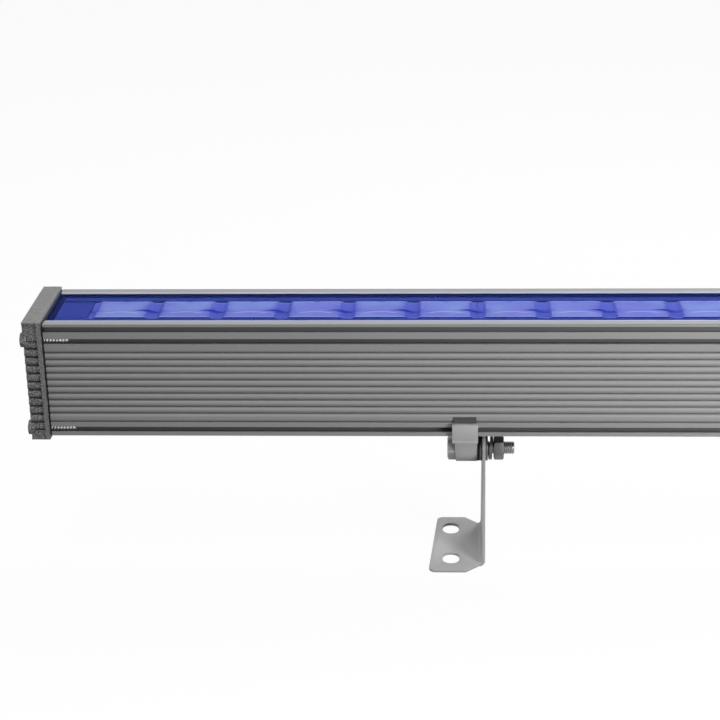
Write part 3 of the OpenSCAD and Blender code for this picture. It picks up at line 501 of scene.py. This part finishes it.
# Painted shade in each hollow, darker on its near half.
painted_hollow_shade = from_gap.ease(hollow_half + 0.8 * MM, hollow_half - 0.3 * MM)
painted_hollow_shade_blue = mix(near_side, tint(78, 94, 204), tint(64, 84, 198))
# A tail of painted shade spreading out from each hollow.
painted_shade_tail = from_gap.ease(9.0 * MM, 4.5 * MM)
# A painted shadow in the oval of each hollow.
oval_across = abs(y - oval_off) / oval_wide
oval_along = abs((beside_gap + 3.0 * MM) / (11.0 * MM))
oval = (oval_along + oval_across).ease(1.05, 0.7)
# A wing of painted shadow beside each hollow.
painted_shadow_wing = beside_gap.ease(-12.0 * MM, -5.0 * MM) * beside_gap.ease(6.0 * MM, 4.0 * MM)
painted_shadow_wing = abs(y - 3.0 * MM).ease(3.4 * MM, 2.0 * MM) * painted_shadow_wing
# A dash of painted shade along each lens.
painted_shade_dash = abs(y + 3.2 * MM).ease(0.9 * MM, 0.2 * MM)
# A painted highlight arc across each lens.
arc_bow = 20
painted_highlight_arc = abs(y + 4.2 * MM + from_middle * from_middle * arc_bow).ease(0.8 * MM, 0.2 * MM)
painted_highlight_arc = painted_highlight_arc * from_middle.ease(11.0 * MM, 8.0 * MM)
nick = from_middle.ease(1.8 * MM, 1.0 * MM) * abs(y - 12.4 * MM).ease(1.1 * MM, 0.5 * MM)
# Painted glints near the hollows.
painted_glints = grain(place, 900.0, 1.0).ease(0.62, 0.7) * from_gap.ease(7.0 * MM, 5.6 * MM)
lens_blue = mix(blotches.ease(0.35, 0.65), tint(108, 124, 218), tint(120, 146, 222))
# Painted highlights and painted shade laid one over another on the lens blue.
for share, tone in (
    (streaks.ease(0.4, 0.75) * 0.5, tint(124, 130, 228)),
    (painted_shade_dash * 0.5, tint(84, 98, 200)),
    (painted_highlight_arc * 0.85, tint(172, 188, 252)),
    (painted_shade_tail * 0.45, tint(84, 98, 206)),
    (painted_glints * 0.6, tint(190, 200, 250)),
    (painted_hollow_shade * 0.85, painted_hollow_shade_blue),
    (painted_rim_highlights * (1 - painted_hollow_shade * 0.6), tint(158, 168, 250)),
    (nick * 0.6, tint(70, 84, 150)),
    (painted_shadow_wing * 0.3, tint(70, 88, 200)),
    (oval * 0.95, tint(34, 50, 172)),
    (edges, tint(22, 38, 104)),
):
    lens_blue = mix(share, lens_blue, tone)
blank_blue = mix(streaks, tint(46, 66, 160), tint(52, 70, 178))
row_blue = mix(on_row, blank_blue, lens_blue)
given_back = (0.6, 0.54, 0.5)
close_material(
    start,
    {
        "Base Color": row_blue.node("VectorMath", {"operation": "MULTIPLY"}, {0: row_blue, 1: given_back}),
        "Roughness": 0.4 + streaks * 0.2,
        "Specular IOR Level": 0.0,
        "Normal": bumped(streaks, 0.06 * MM),
    },
)
strips = skinned("lens_row", strip_shells, lens, 40)
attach(strips, "light")
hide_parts("lens_strips")

# Seal. A frame of dark blue silicone laid in the opening, which carries the pane and closes the space
# beside it.
rubber, start = open_material("dark_silicone")
skin = grain(where(start), 1400.0)
close_material(
    start,
    {
        "Base Color": mix(skin, tint(22, 36, 92), tint(28, 44, 108)),
        "Roughness": 0.5 + skin * 0.2,
        "Specular IOR Level": 0.0,
        "Normal": bumped(skin, 0.02 * MM),
    },
)
dress(rubber, "glass_seal")

# Glass. A toughened pane with ground edges, bedded on the seal a little below the rails. Lamps shine
# through it; the coating on it keeps its mirror image faint.
coated_share = 0.95
pane, start = open_material("coated_glass")
smears = grain(where(start), 30.0, 4.0) * 0.03
pane_inputs = {"Roughness": smears, "IOR": 1.5}
bare = start.node("BsdfPrincipled", None, {"Base Color": white, "Transmission Weight": 1.0, **pane_inputs})
coated = start.node("BsdfRefraction", None, {"Color": white, **pane_inputs})
clear = start.node("MixShader", None, {0: coated_share, 1: bare, 2: coated})
through = start.node("BsdfTransparent", None, {"Color": tint(250, 251, 255)})
in_shadow = start.node("LightPath", out="Is Shadow Ray")
pane_mixed = start.node("MixShader", None, {0: in_shadow, 1: clear, 2: through})
start.node("OutputMaterial", None, {"Surface": pane_mixed})
dress(pane, "glass")

# Bead. Pale silicone run by hand along the joint between glass and rails and smoothed onto both, so
# its edges wander a little.
glass_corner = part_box("glass")[1]
glass_half = glass_corner.y
glass_top = glass_corner.z
opening_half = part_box("glass_seal")[1].y
bead_lap = 0.2 * MM
bead_reach = 1.0 * MM
bead_crown = 0.2 * MM
bead_end = 0.65 * MM
bead_steps = 320
bead_left = housing_low.x + bead_end
bead_right = housing_high.x - bead_end
bead_wave = 0.14 * MM
long_wave, short_wave = 210, 477
bead_shells = []
for side in (-1, 1):
    rings = []
    for step in range(bead_steps + 1):
        at = bead_left + (bead_right - bead_left) * step / bead_steps
        wave = bead_wave * (math.sin(at * long_wave + side) + 0.6 * math.sin(at * short_wave + 2 * side))
        inner = glass_half - bead_lap + wave * 0.4
        outline = (
            (inner, glass_top),
            (inner + 0.1 * MM, glass_top + 0.2 * MM),
            (inner + 0.45 * MM, glass_top + 0.42 * MM),
            (opening_half, body_high + bead_crown),
            (opening_half + bead_reach / 2, body_high + bead_crown * 0.8),
            (opening_half + bead_reach + wave * 0.6, body_high),
            (opening_half, body_high),
            (opening_half, glass_top),
        )
        rings.append([(at, side * across, height) for across, height in outline])
    bead_shells.append(rings)
silicone, start = open_material("pale_silicone")
place = where(start)
skin = grain(place, 700.0)
drag = grain(place, 90.0, 3.0, (0.3, 1, 1))
close_material(
    start,
    {
        "Base Color": mix(drag, tint(150, 153, 178), tint(176, 180, 206)),
        "Roughness": 0.35 + skin * 0.2,
        "Normal": bumped(skin * 0.4 + drag * 0.6, 0.05 * MM),
    },
)
bead = skinned("silicone_bead", bead_shells, silicone, 60)
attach(bead, "light")

# Gaskets. Black rubber sheet cut to the outline of the housing's end, and pressed between housing and
# cap by the cap screws.
black_rubber = mottled("black_rubber", (20, 20, 21), (32, 32, 33), 1600.0, 0.6, depth=0.03, shine=0.3)
dress(black_rubber, "left_gasket", "right_gasket")

# End caps. Sand-cast aluminium under the same grey coat: coarse grain on the fluted sides and the outer
# face, finer on the top, and painted shade at the foot of the flutes.
left_cap_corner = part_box("left_cap")[1]
light_middle = (housing_low.x + housing_high.x) / 2
cap_back = light_middle - left_cap_corner.x
cap_face = 500.0 * MM
cap_half = left_cap_corner.y
cap_top = left_cap_corner.z
casting, start = open_material("coated_casting")
place = where(start)
x, y, z = axes(place, "XYZ")
from_centre = abs(x - light_middle)
coarse = grain(place, 1100.0, 4.0).ease(0.34, 0.66)
fine = grain(place, 2200.0, 2.0)
pits = grain(place, 900.0, 2.0).ease(0.62, 0.75)
# Painted shade in the flute grooves, below the crests, on the sides only.
painted_flute_shade = abs(y).ease(cap_half - 1.15 * MM, cap_half - 1.7 * MM)
painted_flute_shade = painted_flute_shade * from_centre.ease(cap_face - 0.3 * MM, cap_face - 0.7 * MM)
painted_flute_shade = painted_flute_shade * z.ease(cap_top - 0.5 * MM, cap_top - 0.9 * MM)
rim = from_centre.ease(cap_back + 2.5 * MM, cap_back + 2.2 * MM)
on_top = z.ease(cap_top - 0.6 * MM, cap_top + 0.4 * MM)
cap_shade = mix(coarse, tint(100, 100, 101), tint(166, 166, 167))
cap_shade = mix(pits * 0.6, cap_shade, tint(52, 52, 53))
cap_shade = mix(painted_flute_shade * 0.85, cap_shade, tint(28, 28, 29))
cap_shade = mix(rim * 0.6, cap_shade, tint(150, 150, 151))
top_shade = mix(fine, tint(128, 128, 129), tint(138, 138, 139))
close_material(
    start,
    {
        "Base Color": mix(on_top, cap_shade, top_shade),
        "Roughness": 0.5 + fine * 0.2,
        "Specular IOR Level": 0.2,
        "Normal": bumped(coarse * (1 - on_top * 0.8), 0.5 * MM),
    },
)
dress(casting, "left_cap", "right_cap")

# Cap screws. Zinc-plated thread-forming screws through the caps into the housing's channels, where
# their threads show.
zinc = mottled("zinc_screw", (120, 120, 122), (168, 168, 170), 1800.0, 0.3, metal=0.8)
dress(zinc, "left_cap_screws", "right_cap_screws")

# Cable gland. Black nylon body through the right cap, held by its locknut, with a dome nut, a rubber
# washer against the cap and a rubber seal for the cable.
nylon = mottled("black_nylon", (26, 26, 28), (38, 38, 41), 1100.0, 0.4)
dress(nylon, "gland_body", "gland_locknut", "gland_dome_nut")
dress(black_rubber, "gland_washer", "gland_seal")


# Clamps. Aluminium jaws with an eye for the bolt, hooked into the lower channels over rubber pads.
# Their edges are broken, so every one carries a thin line of light.
def edged(name, node, body, material, width):
    """A CAD node again with its outer edges rounded off by so much."""
    weld = 0.002 * MM
    flat_turn = math.radians(1)
    edge_turn = math.radians(30)
    shape = bmesh.new()
    shape.from_mesh(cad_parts[node].data)
    bmesh.ops.remove_doubles(shape, verts=shape.verts, dist=weld)
    bmesh.ops.dissolve_limit(shape, angle_limit=flat_turn, verts=shape.verts, edges=shape.edges)
    outer = [
        edge
        for edge in shape.edges
        if len(edge.link_faces) == 2 and edge.calc_face_angle_signed(0) > edge_turn
    ]
    bmesh.ops.bevel(
        shape, geom=outer, offset=width, segments=2, profile=0.5, affect="EDGES", clamp_overlap=True
    )
    mesh = bpy.data.meshes.new(name)
    shape.to_mesh(mesh)
    shape.free()
    piece = finished(name, mesh, material, 50)
    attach(piece, body)
    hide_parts(node)


sawn = mottled("sawn_aluminium", (164, 164, 165), (184, 184, 185), 1600.0, 0.36, metal=0.2, depth=0.03)
for side in ("left", "right"):
    edged(side + "_clamp_edged", side + "_clamp", side + "_mount", sawn, 0.3 * MM)
grey_rubber = mottled("grey_rubber", (70, 70, 71), (84, 84, 85), 1600.0, 0.6, depth=0.03, shine=0.3)
dress(grey_rubber, "left_clamp_pads", "right_clamp_pads")

# Tilt bolts, washers and nuts. Stainless M8 bolts with rolled threads, forged heads and turned rims,
# stamped washers with soft edges, and a rubber friction washer. The right set is the left one turned
# half round.
bolt_low, bolt_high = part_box("left_bolt")
bolt_axis = (bolt_low.z + bolt_high.z) / 2
bolt_end = bolt_high.x
head_height = 5.3 * MM
head_at = bolt_low.x + head_height
head_turn = math.radians(1)
head_rims = (
    (0.0, 5.9 * MM),
    (0.15 * MM, 6.25 * MM),
    (0.6 * MM, 7.0 * MM),
    (0.95 * MM, 7.6 * MM),
    (head_height - 0.4 * MM, 7.6 * MM),
    (head_height, 7.2 * MM),
)
flat_radius = 6.5 * MM
shank_from = head_at - 0.2 * MM
thread_pitch = 1.25 * MM
thread_radius = 4.0 * MM
thread_depth = 0.5 * MM
thread_run_out = 1.0 * MM
end_chamfer = 0.5 * MM
cuts_a_turn = 8
bolt_sides = 48
bolt_turns = [k * math.tau / bolt_sides for k in range(bolt_sides)]


def bolt_ring(at, radius):
    """Points round the bolt's axis, at distances given by a function of the angle."""
    return [
        (at, radius(turn) * math.sin(turn), bolt_axis + radius(turn) * math.cos(turn)) for turn in bolt_turns
    ]


def hexagon(rim):
    """How far out a hexagon's side lies at an angle, cut off by a round rim."""
    sixth = math.tau / 6
    return lambda turn: min(rim, flat_radius / math.cos((turn - head_turn + sixth / 2) % sixth - sixth / 2))


def thread_at(at):
    """How far out the thread lies at an angle, for a cut across the bolt."""
    full = eased(bolt_end - at, 0.0, thread_run_out)

    def radius(turn):
        phase = (at / thread_pitch - turn / math.tau) % 1
        groove = eased(abs(phase - 0.5) * 2, 0.1, 0.8)
        return thread_radius - thread_depth * groove - (1 - full) * end_chamfer * (1 - groove)

    return radius


thread_steps = int((bolt_end - head_at) / thread_pitch * cuts_a_turn)
thread_step = (bolt_end - shank_from) / thread_steps
bolt_shells = [
    [bolt_ring(head_at - head_height + depth, hexagon(rim)) for depth, rim in head_rims],
    [bolt_ring(at, thread_at(at)) for at in (shank_from + thread_step * k for k in range(thread_steps + 1))],
]
turned_shells = [
    [[(2 * light_middle - px, -py, pz) for px, py, pz in ring] for ring in rings] for rings in bolt_shells
]
stainless = mottled("stainless_steel", (88, 88, 89), (112, 112, 113), 1800.0, 0.3, metal=0.7, depth=0.03)
bolt_steel = mottled("bolt_steel", (140, 140, 141), (176, 176, 177), 2200.0, 0.26, metal=0.7)
for side, shells in (("left", bolt_shells), ("right", turned_shells)):
    bolt = skinned(side + "_tilt_bolt", shells, bolt_steel, 30)
    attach(bolt, side + "_mount")
    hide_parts(side + "_bolt")
    for part, slot in (("_inner_washer", "washer"), ("_outer_washer", "washer"), ("_nut", "nut")):
        edged(side + part + "_edged", side + part, side + "_mount", stainless, 0.25 * MM)
    dress(stainless, side + "_spring_washer")
    dress(black_rubber, side + "_friction_washer")

# Feet. Pressed from steel sheet with two slots each, folded, and coated grey; the coat rounds the
# sheared edges.
sheet_coat = mottled(
    "coated_sheet", (174, 174, 175), (186, 186, 187), 1500.0, 0.42, metal=0.1, depth=0.03, shine=0.25
)
for side in ("left", "right"):
    edged(side + "_foot_edged", side + "_foot", side + "_stand", sheet_coat, 0.35 * MM)
